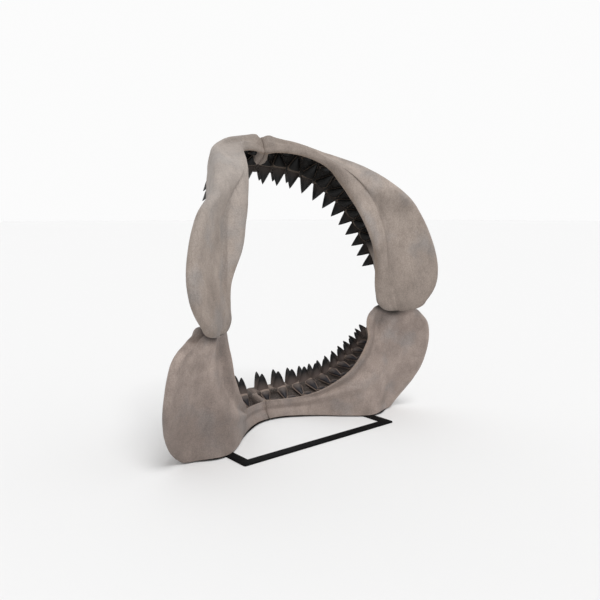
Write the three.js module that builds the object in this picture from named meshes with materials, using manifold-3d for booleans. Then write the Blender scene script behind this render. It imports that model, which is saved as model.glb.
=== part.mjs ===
// Shark jaw replica, life size: two upper and two lower jaw halves with their teeth, on a flat bar stand.
// Units are millimetres and +Z is up. The mouth faces -Y and the animal's left side is +X.
import * as THREE from 'three';
import { mergeVertices } from 'three/addons/utils/BufferGeometryUtils.js';
import Module from 'manifold-3d';

const wasm = await Module();
wasm.setup();

// ---------------------------------------------------------------- overall placing
const CENTRE_FORWARD = 428;      // forward distance, from the stand's back edge, that lies at Y = 0
const MIDLINE_GAP = 0.3;         // gap between left and right halves
const REST_GAP = 0.4;            // gap between the lower jaw and the bars under it
const JOINT_GAP = 1.5;           // gap between an upper half and the cup it sits in

// ---------------------------------------------------------------- stand
const STAND_WIDTH = 1340;
const BAR_WIDTH = 70;
const BAR_THICKNESS = 10;
const STAND_LENGTH = 690;
const STAND_CORNER = 14;         // rounding of the outer corners

// ---------------------------------------------------------------- guide lines
// Each jaw half is a skin drawn over four lines that run from the chin or snout seam to the hinge.
// A point is [side, forward, up] in mm, side measured from the middle, forward from the stand's back edge.
//   margin  outer edge of the cartilage         crest  highest line of the back (tongue) face
//   rim     tongue-side lip of the tooth trough  gum    line that the front teeth stand on
const UPPER = {
  margin: [
    [0, 676, 2066], [80, 674, 2082], [285, 660, 2062], [488, 570, 1995], [672, 286, 1872], [846, 54, 1672],
    [956, 24, 1541], [1046, -20, 1341], [1079, -46, 1157], [1050, -56, 990], [962, -38, 864],
  ],
  crest: [
    [0, 684, 2006], [128, 646, 2036], [282, 548, 2018], [392, 365, 1909], [483, 242, 1801], [598, 196, 1663],
    [670, 155, 1499], [698, 127, 1331], [705, 115, 1157], [728, 101, 1004], [760, 92, 862],
  ],
  rim: [
    [0, 682, 1962], [130, 634, 1976], [253, 523, 1947], [345, 380, 1863], [414, 304, 1732], [469, 228, 1596],
    [520, 178, 1464], [570, 146, 1318], [635, 176, 1157], [640, 180, 1004], [648, 152, 862],
  ],
  gum: [
    [0, 791, 1867], [130, 782, 1861], [276, 756, 1846], [425, 706, 1800], [514, 598, 1705], [580, 493, 1594],
    [629, 408, 1472], [667, 334, 1326], [700, 250, 1157], [702, 222, 1004], [712, 206, 862],
  ],
};
const LOWER = {
  margin: [
    [0, 612, -30], [110, 588, -30], [250, 508, -30], [388, 402, -30], [524, 278, -30], [690, 180, -30],
    [900, 262, -10], [1030, 276, 84], [1146, 154, 330], [1152, 86, 575], [1112, 76, 728], [1000, 86, 840],
  ],
  crest: [
    [0, 682, 77], [138, 653, 69], [253, 579, 77], [345, 472, 107], [445, 357, 153], [583, 250, 184],
    [721, 212, 261], [797, 196, 383], [843, 173, 521], [858, 158, 644], [850, 150, 751], [826, 135, 850],
  ],
  rim: [
    [0, 687, 141], [138, 659, 135], [253, 575, 152], [336, 458, 204], [422, 368, 277], [498, 296, 362],
    [549, 254, 452], [586, 230, 537], [609, 213, 621], [616, 238, 713], [632, 234, 790], [668, 196, 850],
  ],
  gum: [
    [0, 886, 176], [153, 871, 181], [291, 832, 190], [414, 786, 204], [524, 725, 234], [594, 648, 294],
    [641, 564, 372], [676, 487, 454], [700, 419, 536], [708, 342, 636], [706, 285, 746], [713, 250, 845],
  ],
};

// ------------------------------------------------------------ sizes that vary from seam (0) to hinge (1)
const STATIONS = 28;             // sections along one half
const CAP_START = 0.965;         // where the rounded hinge end begins
const UPPER_CAP = 84;            // length of that end
const LOWER_CAP = 62;
const UPPER_TEETH = 12;          // files of teeth in one upper half
const LOWER_TEETH = 12;
const TOOTH_LEAN = 0.25;         // how far the crowns lean toward the lips

const mix = (a, b, f) => a + (b - a) * f;
const clamp01 = (x) => Math.min(1, Math.max(0, x));
const ease = (x, from, to) => {
  const f = clamp01((x - from) / (to - from));
  return f * f * (3 - 2 * f);
};
const window = (x, from, to, soft) => ease(x, from - soft, from) * (1 - ease(x, to, to + soft));

const upperSizes = {
  edge: (t) => mix(80, 54, ease(t, 0.1, 0.5)),              // thickness of the outer edge
  lipShare: (t) => mix(0.9, 0.1, ease(t, 0.08, 0.36)),       // part of that thickness on the lip side
  hollow: (t) => -7 * ease(t, 0.28, 0.5),                    // hollow of the back face; below 0 a swell
  valley: (t) => 15 * window(t, 0.4, 0.72, 0.16),            // depth of the crease along the crest
  roll: (t) => 10 + 24 * window(t, 0.36, 0.74, 0.14),        // roundness of the band between crest and rim
  bulge: (t) => mix(34, 4, ease(t, 0.05, 0.5)),              // swell of the lip-side face
  trough: (t) => mix(-8, 105, ease(t, 0.014, 0.065)) * (1 - ease(t, 0.62, 0.79)),
  rimTrough: (t) => mix(-8, 105, ease(t, 0.035, 0.11)) * (1 - ease(t, 0.62, 0.79)),
  gumWidth: (t) => mix(84, 56, t),
};
const lowerSizes = {
  edge: (t) => mix(70, 58, ease(t, 0.2, 0.6)),
  lipShare: (t) => mix(1, 0.1, ease(t, 0.45, 0.7)),
  hollow: (t) => 8 * ease(t, 0.3, 0.6),
  valley: (t) => 9 * window(t, 0.35, 0.85, 0.15),
  roll: (t) => 10 + 16 * window(t, 0.3, 0.9, 0.15),
  bulge: (t) => mix(30, 16, ease(t, 0.1, 0.6)),
  trough: (t) => mix(-8, 75, ease(t, 0.006, 0.05)) * (1 - ease(t, 0.72, 0.86)),
  rimTrough: (t) => mix(-8, 75, ease(t, 0.01, 0.06)) * (1 - ease(t, 0.72, 0.86)),
  gumWidth: (t) => mix(108, 70, t),
};

// ---------------------------------------------------------------- helpers
const toSpace = ([side, forward, up]) => new THREE.Vector3(side, CENTRE_FORWARD - forward, up);

function guideCurves(table) {
  const curves = {};
  for (const [name, points] of Object.entries(table)) {
    curves[name] = new THREE.CatmullRomCurve3(points.map(toSpace), false, 'centripetal');
  }
  return curves;
}

// Closed solid from rings of equal length; each end is a fan to the ring's middle, or to the given point.
function skinRings(rings, endPoint = null) {
  const count = rings[0].length;
  const positions = [];
  const index = [];
  for (const ring of rings) {
    for (const point of ring) {
      positions.push(point.x, point.y, point.z);
    }
  }
  for (let i = 0; i + 1 < rings.length; i += 1) {
    for (let j = 0; j < count; j += 1) {
      const a = i * count + j;
      const b = i * count + ((j + 1) % count);
      index.push(a, b, a + count, b, b + count, a + count);
    }
  }
  for (const last of [false, true]) {
    const start = last ? (rings.length - 1) * count : 0;
    const middle = new THREE.Vector3();
    for (const point of rings[last ? rings.length - 1 : 0]) {
      middle.addScaledVector(point, 1 / count);
    }
    if (last && endPoint) {
      middle.copy(endPoint);
    }
    const centre = positions.length / 3;
    positions.push(middle.x, middle.y, middle.z);
    for (let j = 0; j < count; j += 1) {
      const a = start + j;
      const b = start + ((j + 1) % count);
      index.push(...(last ? [a, b, centre] : [b, a, centre]));
    }
  }
  const geometry = new THREE.BufferGeometry();
  geometry.setAttribute('position', new THREE.Float32BufferAttribute(positions, 3));
  geometry.setIndex(index);
  return geometry;
}

function signedVolume(geometry) {
  const position = geometry.getAttribute('position');
  const corner = (i) => new THREE.Vector3().fromBufferAttribute(position, geometry.index.getX(i));
  let volume = 0;
  for (let i = 0; i < geometry.index.count; i += 3) {
    volume += corner(i).dot(corner(i + 1).cross(corner(i + 2))) / 6;
  }
  return volume;
}

function toManifold(source) {
  const bare = source.clone();
  bare.deleteAttribute('normal');
  bare.deleteAttribute('uv');
  const geometry = mergeVertices(bare, 1e-3);
  const triVerts = new Uint32Array(geometry.index.array);
  if (signedVolume(geometry) < 0) {
    for (let i = 0; i < triVerts.length; i += 3) {
      [triVerts[i], triVerts[i + 1]] = [triVerts[i + 1], triVerts[i]];
    }
  }
  const vertProperties = new Float32Array(geometry.getAttribute('position').array);
  return new wasm.Manifold(new wasm.Mesh({ numProp: 3, vertProperties, triVerts }));
}

function fromManifold(solid, mirror) {
  const result = solid.getMesh();
  const positions = new Float32Array(result.vertProperties);
  const index = Array.from(result.triVerts);
  if (mirror) {
    for (let i = 0; i < positions.length; i += 3) {
      positions[i] = -positions[i];
    }
    for (let i = 0; i < index.length; i += 3) {
      [index[i], index[i + 1]] = [index[i + 1], index[i]];
    }
  }
  const geometry = new THREE.BufferGeometry();
  geometry.setAttribute('position', new THREE.BufferAttribute(positions, 3));
  geometry.setIndex(index);
  return geometry;
}

function block(size, centre) {
  const geometry = new THREE.BoxGeometry(...size);
  geometry.translate(...centre);
  return toManifold(geometry);
}

// ---------------------------------------------------------------- cartilage
// One section: outer edge, hollow back face, crest, rim, trough, gum ridge and lip-side face.
function section(curves, sizes, t, grow) {
  const margin = curves.margin.getPoint(t);
  const crest = curves.crest.getPoint(t);
  const rim = curves.rim.getPoint(t);
  const gum = curves.gum.getPoint(t);
  const along = curves.rim.getPoint(Math.min(1, t + 0.01)).sub(curves.rim.getPoint(Math.max(0, t - 0.01)));
  const span = margin.clone().sub(gum).normalize();
  const out = span.clone().cross(along).normalize();
  if (out.dot(rim.clone().sub(gum)) > 0) {
    out.negate();
  }
  const edge = sizes.edge(t);
  const half = Math.min(sizes.gumWidth(t) / 2, 0.35 * gum.distanceTo(rim));
  const lipShare = sizes.lipShare(t);
  const tip = margin.clone().addScaledVector(out, (lipShare - 0.5) * edge);
  const shoulder = margin.clone().addScaledVector(span, -0.3 * edge);
  const backEdge = shoulder.clone().addScaledVector(out, (lipShare - 1) * edge);
  const lipEdge = shoulder.clone().addScaledVector(out, lipShare * edge);
  const across = gum.clone().sub(rim).normalize();
  const into = margin.clone().lerp(crest, 0.5).sub(rim);
  into.addScaledVector(across, -into.dot(across)).normalize();
  const arch = (a, b, f, height) => {
    const onLine = a.clone().lerp(b, f);
    return onLine.addScaledVector(out, height * Math.sin(Math.PI * f));
  };
  const back = (f) => arch(backEdge, crest, f, sizes.hollow(t));
  const gumIn = gum.clone().addScaledVector(across, -half);
  const floor = (f, depth) => rim.clone().lerp(gumIn, f).addScaledVector(into, depth);
  const gumOut = gum.clone().addScaledVector(across, half).addScaledVector(into, 0.2 * half);
  const lip = (f) => arch(gumOut, lipEdge, f, sizes.bulge(t));
  const crease = crest.clone().addScaledVector(out, sizes.valley(t));
  const band = crest.clone().lerp(rim, 0.55).addScaledVector(out, -sizes.roll(t));
  const ring = [
    tip, backEdge, back(0.25), back(0.5), back(0.75), crease, band, rim,
    floor(0.15, 0.6 * sizes.rimTrough(t)), floor(0.5, sizes.trough(t)), floor(0.87, 0.6 * sizes.trough(t)),
    gumIn, gumOut,
    lip(0.25), lip(0.5), lip(0.75), lipEdge,
  ];
  if (grow > 0) {
    const middle = new THREE.Vector3();
    for (const point of ring) {
      middle.addScaledVector(point, 1 / ring.length);
    }
    for (const point of ring) {
      point.addScaledVector(point.clone().sub(middle).normalize(), grow);
    }
  }
  return ring;
}

// A half runs from the seam plane to a rounded hinge end.
function cartilage(table, sizes, endRound, grow = 0) {
  const curves = guideCurves(table);
  const rings = [];
  for (let i = 0; i <= STATIONS; i += 1) {
    const t = CAP_START * i / STATIONS;
    rings.push(section(curves, sizes, t, grow));
  }
  for (const point of rings[0]) {
    point.x = MIDLINE_GAP / 2;
  }
  const end = rings[STATIONS];
  const heading = curves.crest.getTangent(CAP_START);
  const middle = new THREE.Vector3();
  for (const point of end) {
    middle.addScaledVector(point, 1 / end.length);
  }
  for (const turn of [0.5, 1, 1.45]) {
    rings.push(end.map((point) => {
      const inner = middle.clone().lerp(point, mix(1, Math.cos(turn), 0.85));
      return inner.addScaledVector(heading, (endRound + grow) * Math.sin(turn));
    }));
  }
  return toManifold(skinRings(rings));
}

// Rounded bump, its long side turned about the vertical.
function knob({ place, radii, turn }) {
  const geometry = new THREE.SphereGeometry(1, 10, 7);
  geometry.scale(...radii);
  geometry.rotateZ(turn);
  geometry.translate(...toSpace(place).toArray());
  return toManifold(geometry);
}
// Lip of the hinge cup, and the bump beside the notch at the snout.
const CUP_KNOB = { place: [868, 176, 842], radii: [62, 44, 40], turn: 0.32 };
const NOSE_KNOB = { place: [54, 706, 2061], radii: [40, 40, 42], turn: 0 };

// ---------------------------------------------------------------- teeth
// A crown is a flat triangular blade with sharp sides, its root set into the gum.
function tooth(base, pointing, alongRow, height, width, thick, root) {
  const axis = pointing.clone().normalize();
  const wide = alongRow.clone().addScaledVector(axis, -alongRow.dot(axis)).normalize();
  const face = axis.clone().cross(wide).normalize();
  const ring = (up, w, d) => [[w, 0], [0, d], [-w, 0], [0, -d]].map(([u, v]) => base.clone()
    .addScaledVector(axis, up).addScaledVector(wide, u).addScaledVector(face, v));
  const tip = base.clone().addScaledVector(axis, height);
  const blade = [ring(-root, width * 0.52, thick * 0.5), ring(height * 0.42, width * 0.33, thick * 0.34)];
  return toManifold(skinRings(blade, tip));
}

// One row along the gum of a half, each tooth turned a little more inward toward the hinge.
function toothRow(table, sizes, row) {
  const curves = guideCurves(table);
  const teeth = [];
  for (let i = 0; i < row.count; i += 1) {
    const f = (i + row.shift(i / row.count)) / row.count;
    const t = row.start + (row.end - row.start) * Math.pow(f, row.spread);
    const base = curves.gum.getPoint(t);
    const along = curves.gum.getPoint(Math.min(1, t + 0.01)).sub(curves.gum.getPoint(Math.max(0, t - 0.01)));
    const across = base.clone().sub(curves.rim.getPoint(t)).normalize();
    const turn = row.turn(t);
    const pointing = new THREE.Vector3(-Math.sin(turn), -TOOTH_LEAN * row.lean, row.up * Math.cos(turn));
    base.addScaledVector(across, row.offset * sizes.gumWidth(t));
    teeth.push(tooth(base, pointing, along, row.height(f), row.width(f), row.thick, row.root));
  }
  return teeth;
}

const upperTurn = (t) => 0.98 * ease(t, 0.12, 0.68);
const lowerTurn = (t) => 0.75 * ease(t, 0.3, 0.75);
const halfWay = () => 0.5;
const UPPER_ROWS = [
  {
    count: UPPER_TEETH, shift: halfWay, start: 0, end: 0.83, spread: 0.84, offset: -0.22, up: -1, lean: 1,
    turn: upperTurn, height: (f) => mix(126, 98, f ** 1.3), width: (f) => mix(118, 88, f),
    thick: 34, root: 12,
  },
  {
    count: UPPER_TEETH, shift: halfWay, start: 0, end: 0.83, spread: 0.84, offset: 0.38, up: -1, lean: 1.6,
    turn: upperTurn, height: (f) => mix(68, 66, f), width: (f) => mix(76, 58, f),
    thick: 26, root: 12,
  },
];
const LOWER_ROWS = [
  {
    count: LOWER_TEETH, shift: halfWay, start: 0, end: 0.84, spread: 0.84, offset: -0.27, up: 1, lean: 0.4,
    turn: lowerTurn, height: (f) => mix(134, 80, f), width: (f) => mix(112, 72, f),
    thick: 36, root: 12,
  },
  {
    count: LOWER_TEETH, shift: (f) => mix(0.5, 0.12, ease(f, 0.15, 0.45)), start: 0, end: 0.84, spread: 0.84,
    offset: 0.27, up: 1, lean: 0.4, turn: lowerTurn,
    height: (f) => mix(126, 86, f), width: (f) => mix(84, 54, f), thick: 28, root: 12,
  },
];

// ---------------------------------------------------------------- assembly
const group = new THREE.Group();
group.name = 'shark_jaw';

const bone = { color: 0xa89c92, roughness: 0.72, metalness: 0 };
const lowerBone = { color: 0x94887e, roughness: 0.74, metalness: 0 };
const steel = { color: 0x141415, roughness: 0.5, metalness: 0.2 };

function addMesh(name, geometry, look) {
  const mesh = new THREE.Mesh(geometry, new THREE.MeshStandardMaterial(look));
  mesh.name = name;
  group.add(mesh);
}

function withTeeth(body, table, sizes, rows) {
  let solid = body;
  for (const row of rows) {
    for (const piece of toothRow(table, sizes, row)) {
      solid = solid.add(piece);
    }
  }
  return solid;
}

const seamSide = block([400, 3000, 3000], [MIDLINE_GAP / 2 - 200, 0, 1000]);
const underside = block([4000, 3000, 400], [0, 0, BAR_THICKNESS + REST_GAP - 200]);
const upperBody = cartilage(UPPER, upperSizes, UPPER_CAP).add(knob(NOSE_KNOB));
const socket = cartilage(UPPER, upperSizes, UPPER_CAP, JOINT_GAP);
const lowerBlank = cartilage(LOWER, lowerSizes, LOWER_CAP).add(knob(CUP_KNOB));
const lowerBody = lowerBlank.subtract(socket).subtract(underside);

const upperHalf = withTeeth(upperBody, UPPER, upperSizes, UPPER_ROWS).subtract(seamSide);
const lowerHalf = withTeeth(lowerBody, LOWER, lowerSizes, LOWER_ROWS).subtract(seamSide);

addMesh('upper_jaw_left', fromManifold(upperHalf, false), bone);
addMesh('upper_jaw_right', fromManifold(upperHalf, true), bone);
addMesh('lower_jaw_left', fromManifold(lowerHalf, false), lowerBone);
addMesh('lower_jaw_right', fromManifold(lowerHalf, true), lowerBone);

// Flat bar stand: a rear bar and two arms that run forward under the lower jaw.
function standOutline() {
  const w = STAND_WIDTH / 2;
  const back = CENTRE_FORWARD;
  const front = CENTRE_FORWARD - STAND_LENGTH;
  const shape = new THREE.Shape();
  shape.moveTo(-w, front);
  shape.lineTo(-w + BAR_WIDTH, front);
  shape.lineTo(-w + BAR_WIDTH, back - BAR_WIDTH);
  shape.lineTo(w - BAR_WIDTH, back - BAR_WIDTH);
  shape.lineTo(w - BAR_WIDTH, front);
  shape.lineTo(w, front);
  shape.lineTo(w, back - STAND_CORNER);
  shape.quadraticCurveTo(w, back, w - STAND_CORNER, back);
  shape.lineTo(-w + STAND_CORNER, back);
  shape.quadraticCurveTo(-w, back, -w, back - STAND_CORNER);
  return shape;
}
const standShape = new THREE.ExtrudeGeometry(standOutline(), {
  depth: BAR_THICKNESS, bevelEnabled: false, curveSegments: 4,
});
addMesh('stand', fromManifold(toManifold(standShape), false), steel);

export default group;
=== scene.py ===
"""Looks of the giant shark jaw replica: cartilage, teeth, stand and stage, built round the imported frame."""
import math

import bpy
import numpy as np
from bpy.props import FloatProperty, FloatVectorProperty, IntProperty, PointerProperty
from mathutils import Matrix, Vector
from mathutils.bvhtree import BVHTree


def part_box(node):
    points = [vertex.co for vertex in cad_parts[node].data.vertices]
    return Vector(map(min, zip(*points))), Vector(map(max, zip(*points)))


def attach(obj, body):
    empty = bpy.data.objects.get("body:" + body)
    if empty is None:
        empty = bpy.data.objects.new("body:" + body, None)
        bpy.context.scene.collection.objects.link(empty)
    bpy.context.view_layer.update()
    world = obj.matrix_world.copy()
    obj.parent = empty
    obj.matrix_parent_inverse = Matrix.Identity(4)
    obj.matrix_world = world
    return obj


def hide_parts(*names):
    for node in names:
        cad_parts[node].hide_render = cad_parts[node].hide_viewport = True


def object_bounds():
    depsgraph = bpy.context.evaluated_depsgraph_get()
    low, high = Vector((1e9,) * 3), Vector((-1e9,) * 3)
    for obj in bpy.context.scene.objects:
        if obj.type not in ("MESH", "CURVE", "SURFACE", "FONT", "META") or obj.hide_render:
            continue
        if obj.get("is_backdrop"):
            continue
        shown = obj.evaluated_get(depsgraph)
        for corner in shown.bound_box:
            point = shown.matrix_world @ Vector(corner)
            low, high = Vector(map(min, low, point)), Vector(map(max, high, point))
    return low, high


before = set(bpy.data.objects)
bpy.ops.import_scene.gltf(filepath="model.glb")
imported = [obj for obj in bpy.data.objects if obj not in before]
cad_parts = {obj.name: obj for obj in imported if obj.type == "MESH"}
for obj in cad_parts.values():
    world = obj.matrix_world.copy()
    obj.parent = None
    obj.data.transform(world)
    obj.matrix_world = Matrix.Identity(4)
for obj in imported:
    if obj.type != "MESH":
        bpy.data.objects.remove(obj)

bl_info = {
    "name": "Shark Jaw Replica",
    "version": (1, 0, 0),
    "blender": (4, 5, 0),
    "location": "3D View > Sidebar > Jaw",
    "description": "Builds the cartilage, teeth and stand of a giant shark jaw round its packed frame",
    "category": "Object",
}

CAD_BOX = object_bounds()
BODY = "root"
MM = 0.001
STAND_LOW, STAND_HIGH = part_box("stand")
CENTRE_FORWARD = STAND_HIGH.y / MM      # from the stand's back edge forward to the frame's middle, in mm
FLOOR_OF_JAW = STAND_HIGH.z + 0.0006    # the lower jaw's underside, just above the bars
HALVES = (("left", 1), ("right", -1))   # name, and the sign of its side along X


# ---------------------------------------------------------------- named sizes, in metres where not said
SEAM_LEVELS = np.array([0, 0.0012, 0.003, 0.006, 0.011])    # sections at the seam, in shares of the length
FIRST_SECTION = 0.018                   # share of the length where the even sections start
CAP_START = 0.965                       # share of the length where the hinge's rounding starts
CAP_STEPS = 12
CAP_TURN = math.pi / 2 - 0.1            # angle through which the hinge is rounded
CAP_NARROWING = 0.85                    # share of the way to its middle that the end draws in
CAP_FOLLOW = 0.8                        # how much each point of the cap keeps its own last direction
UPPER_CAP = 82                          # length of the rounding, in mm
LOWER_CAP = 62
WELD = 5e-6
SEAM_KEEP = 0.004                       # distance from the midline that smoothing leaves alone
GROOVE_SHADE_DEPTH = 60                  # depth in mm at which a trough is fully dark: its dark paint, with painted shade that grows with the depth
CUP_GAP = 0.005                         # left between a hinge cup and the foot in it
CREVICE_SHADE_REACH = 0.075                     # distance over which the painted shadow of the crevice fades
CREVICE_SHADE_STRENGTH = 2.4                    # what is past 1 turns from the creases' painted shade to the crevice's own painted shadow tint
BAR_WIDTH = 0.07                        # the stand's flat bar
CORNER_RADIUS = 0.014
CORNER_STEPS = 6
EDGE_RADIUS = 0.0012
EDGE_STEPS = 2
EDGE_ANGLE = math.radians(30)
FLOOR_SIZE = 300
CLIP_FAR = 200
TOOTH_SIDES = 16
TOOTH_LEVELS = np.array([               # heights of a tooth's sections, in shares of its crown
    -0.16, -0.13, -0.04, 0.05, 0.16, 0.28, 0.4, 0.52, 0.64, 0.75, 0.85, 0.93, 0.975, 1.0,
])
TIP_WIDTH = 0.012                       # the next five are in shares of a tooth's own size
TIP_THICKNESS = 0.05
ROOT_NARROWING = 0.9
CROWN_CURVE = 0.1                       # how far the crown bows to the tongue side
BASE_SCALLOP = 0.05                     # how far the crown's base dips at its corners
FACE_FLATNESS = 1.35                    # exponent that sharpens the cutting edges
FORWARD_TILT = 0.25                     # slope of a tooth whose lean is 1
FILE_SPACING = 0.84                     # exponent that spaces the teeth closer towards the hinge
SHEATH_SINK = 6                         # how much deeper than its tooth a sheath lies, in mm

# Swellings and dents: place as [side, forward, up], reach and lift, in mm.
NOSE_SWELLS = (                         # the snout's bumps, the dip behind them and the notch between them
    ((60, 690, 2090), (34, 60, 50), (0, 4, 11)),
    ((170, 680, 2085), (100, 80, 70), (0, 0, -10)),
    ((0, 690, 2070), (28, 70, 60), (0, -10, -14)),
)
FOOT_SWELL = ((690, 110, 800), (60, 70, 45), (-10, 0, -6))
CUP_SWELLS = (                          # the lip and the back of the hinge cup
    ((895, 180, 850), (60, 50, 50), (10, -12, 30)),
    ((850, 130, 765), (130, 90, 70), (0, 42, 0)),
)

# Painted shade on a half's lower end: height where it starts to darken, reach, and strength on the -X and the
# +X half.
UPPER_LOW_SHADE = (0.82, 0.5, 0.5, 0.4)
LOWER_LOW_SHADE = (0.0, 0.75, 0.1, 0.8)
COOL_CAST = (0.96, 0.92, 0.91)
# painted light on the top of the +X head, in a paler greyer tint
BROW_LIGHT = (0.48, 0.44, 0.41)
SEAM_TINT = (0.13, 0.1, 0.08)
RIM_TINT = (0.28, 0.185, 0.115)
# painted shadow in the hinge's crevice
CREVICE_SHADOW_TINT = (0.05, 0.041, 0.036)
FLOOR_TINT = (0.8, 0.8, 0.8)
LAMPS = (                               # name, heading, spread in degrees, strength
    ("key", (-0.12, -0.62, -1.2), 25, 1.7),
    ("fill", (0.6, -1.0, -0.3), 60, 0.15),
)
BACKDROP_SPAN = (-0.2, 0.8)             # cosines from the look direction between which the backdrop lights up

# ---------------------------------------------------------------- guide lines, in mm
# A point is [side, forward, up]: side from the middle, forward from the stand's back edge, up from the floor.
# margin is the outer edge, crest the top of the back face, rim the edge of the tooth trough,
# and gum the line that the front teeth stand on. Each runs from the seam to the hinge.
UPPER = {
    "margin": [
        [0, 676, 2066], [80, 674, 2082], [285, 660, 2062], [488, 570, 1995], [667, 280, 1872],
        [836, 42, 1672], [956, 24, 1541], [1046, -20, 1341], [1079, -46, 1157], [1046, -54, 992],
        [926, -16, 833],
    ],
    "crest": [
        [0, 684, 2006], [128, 646, 2036], [282, 548, 2018], [392, 365, 1909], [483, 242, 1801],
        [598, 196, 1663], [670, 155, 1499], [698, 127, 1331], [705, 115, 1157], [728, 101, 1004],
        [762, 82, 840],
    ],
    "rim": [
        [0, 682, 1962], [132, 636, 1976], [280, 555, 1949], [366, 405, 1866], [424, 316, 1732],
        [469, 228, 1596], [520, 178, 1464], [570, 146, 1318], [635, 176, 1157], [640, 180, 1004],
        [646, 152, 840],
    ],
    "gum": [
        [0, 791, 1867], [130, 782, 1861], [276, 756, 1846], [425, 706, 1800], [514, 598, 1705],
        [580, 493, 1594], [629, 408, 1472], [667, 334, 1326], [700, 250, 1157], [702, 222, 1004],
        [712, 206, 842],
    ],
}
LOWER = {
    "margin": [
        [0, 612, -30], [110, 588, -30], [250, 508, -30], [388, 402, -30], [524, 278, -30],
        [690, 180, -30], [900, 262, -10], [1030, 276, 84], [1146, 154, 330], [1152, 86, 575],
        [1108, 76, 724], [974, 86, 836],
    ],
    "crest": [
        [0, 682, 77], [138, 653, 69], [253, 579, 77], [345, 472, 107], [445, 357, 153],
        [583, 250, 184], [721, 212, 261], [797, 196, 383], [843, 173, 521], [858, 158, 644],
        [850, 150, 751], [826, 135, 850],
    ],
    "rim": [
        [0, 687, 141], [138, 659, 135], [253, 575, 152], [336, 458, 204], [422, 368, 277],
        [498, 296, 362], [549, 254, 452], [586, 230, 537], [609, 213, 621], [616, 238, 713],
        [632, 234, 790], [668, 196, 850],
    ],
    "gum": [
        [0, 886, 176], [153, 871, 181], [291, 832, 190], [414, 786, 204], [524, 725, 234],
        [594, 648, 294], [641, 564, 372], [676, 487, 454], [700, 419, 536], [708, 342, 636],
        [706, 285, 746], [713, 250, 845],
    ],
}
GUIDE_SAMPLES = 400
GUIDE_SOFTNESS = 7                      # samples over which a guide line is smoothed

# Places round a section, in the order that section_points gives them.
CREST, RIM, FLOOR_RIM, FLOOR_DEEP, FLOOR_GUM, GUM_IN, GUM_OUT = 6, 9, 10, 11, 12, 13, 14


def mix(a, b, f):
    """a turning into b as f goes from 0 to 1."""
    return a + (b - a) * f


def ease(x, start, end):
    """0 up to start, 1 from end on, and a smooth step between."""
    f = np.clip((x - start) / (end - start), 0, 1)
    return f * f * (3 - 2 * f)


def window(x, start, end, soft):
    """1 between start and end, falling to 0 over the distance soft on either side."""
    return ease(x, start - soft, start) * (1 - ease(x, end, end + soft))


def unit(v):
    return v / np.linalg.norm(v, axis=-1, keepdims=True)


def dot(a, b):
    return (a * b).sum(axis=-1, keepdims=True)


# ---------------------------------------------------------------- sizes along a half, in mm
# edge is the margin's thickness and lip_share the part of it on the lip side. hollow dips the back face,
# swell lifts it next to the crest, band lifts the three points between crest and rim, and bulge swells the
# lip side. trough and rim_trough are the tooth trough's depth in the middle and below the rim.
def upper_sizes(t):
    return {
        "edge": mix(80, 54, ease(t, 0.1, 0.5)),
        "lip_share": mix(0.9, 0.1, ease(t, 0.08, 0.36)),
        "hollow": -7 * ease(t, 0.28, 0.5),
        "swell": 7 * window(t, 0.37, 0.41, 0.1) - 15 * window(t, 0.58, 0.78, 0.12),
        "band": (-4 * window(t, 0.4, 0.45, 0.11) + 8 * window(t, 0.58, 0.76, 0.1) + 7 * ease(t, 0.88, 0.97),
                 5 + 14 * window(t, 0.38, 0.72, 0.14),
                 10 + 22 * window(t, 0.46, 0.72, 0.18)),
        "bulge": mix(34, 4, ease(t, 0.05, 0.5)),
        "trough": mix(-8, 105, ease(t, 0.028, 0.092)) * (1 - ease(t, 0.62, 0.79)),
        "rim_trough": mix(-8, 105, ease(t, 0.015, 0.072)) * (1 - ease(t, 0.62, 0.79)),
        "gum_width": mix(84, 56, t) - 26 * window(t, 0.32, 0.46, 0.1),
    }


def lower_sizes(t):
    return {
        "edge": mix(70, 58, ease(t, 0.2, 0.6)),
        "lip_share": mix(1, 0.1, ease(t, 0.45, 0.7)),
        "hollow": 5 * ease(t, 0.3, 0.6),
        "swell": 8 * window(t, 0.4, 0.8, 0.2),
        "band": (10 + 14 * window(t, 0.35, 0.85, 0.2),
                 7 - 22 * window(t, 0.4, 0.86, 0.22),
                 6 + 9 * window(t, 0.4, 0.86, 0.22)),
        "bulge": mix(30, 16, ease(t, 0.1, 0.6)),
        "trough": mix(-6, 75, ease(t, 0.003, 0.028)) * (1 - ease(t, 0.72, 0.86)),
        "rim_trough": mix(-6, 75, ease(t, 0.003, 0.032)) * (1 - ease(t, 0.72, 0.86)),
        "gum_width": mix(108, 70, t),
    }


def spline(a, b, c, d, f):
    """Centripetal spline from b to c, with a and d as the points before and after."""
    steps = []
    for start, end in ((a, b), (b, c), (c, d)):
        steps.append(np.maximum(np.linalg.norm(end - start, axis=-1, keepdims=True), 1e-9) ** 0.5)
    ab, bc, cd = steps
    leave = bc * ((b - a) / ab - (c - a) / (ab + bc) + (c - b) / bc)
    arrive = bc * ((c - b) / bc - (d - b) / (bc + cd) + (d - c) / cd)
    return b + leave * f + (3 * (c - b) - 2 * leave - arrive) * f**2 + (2 * (b - c) + leave + arrive) * f**3


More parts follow.
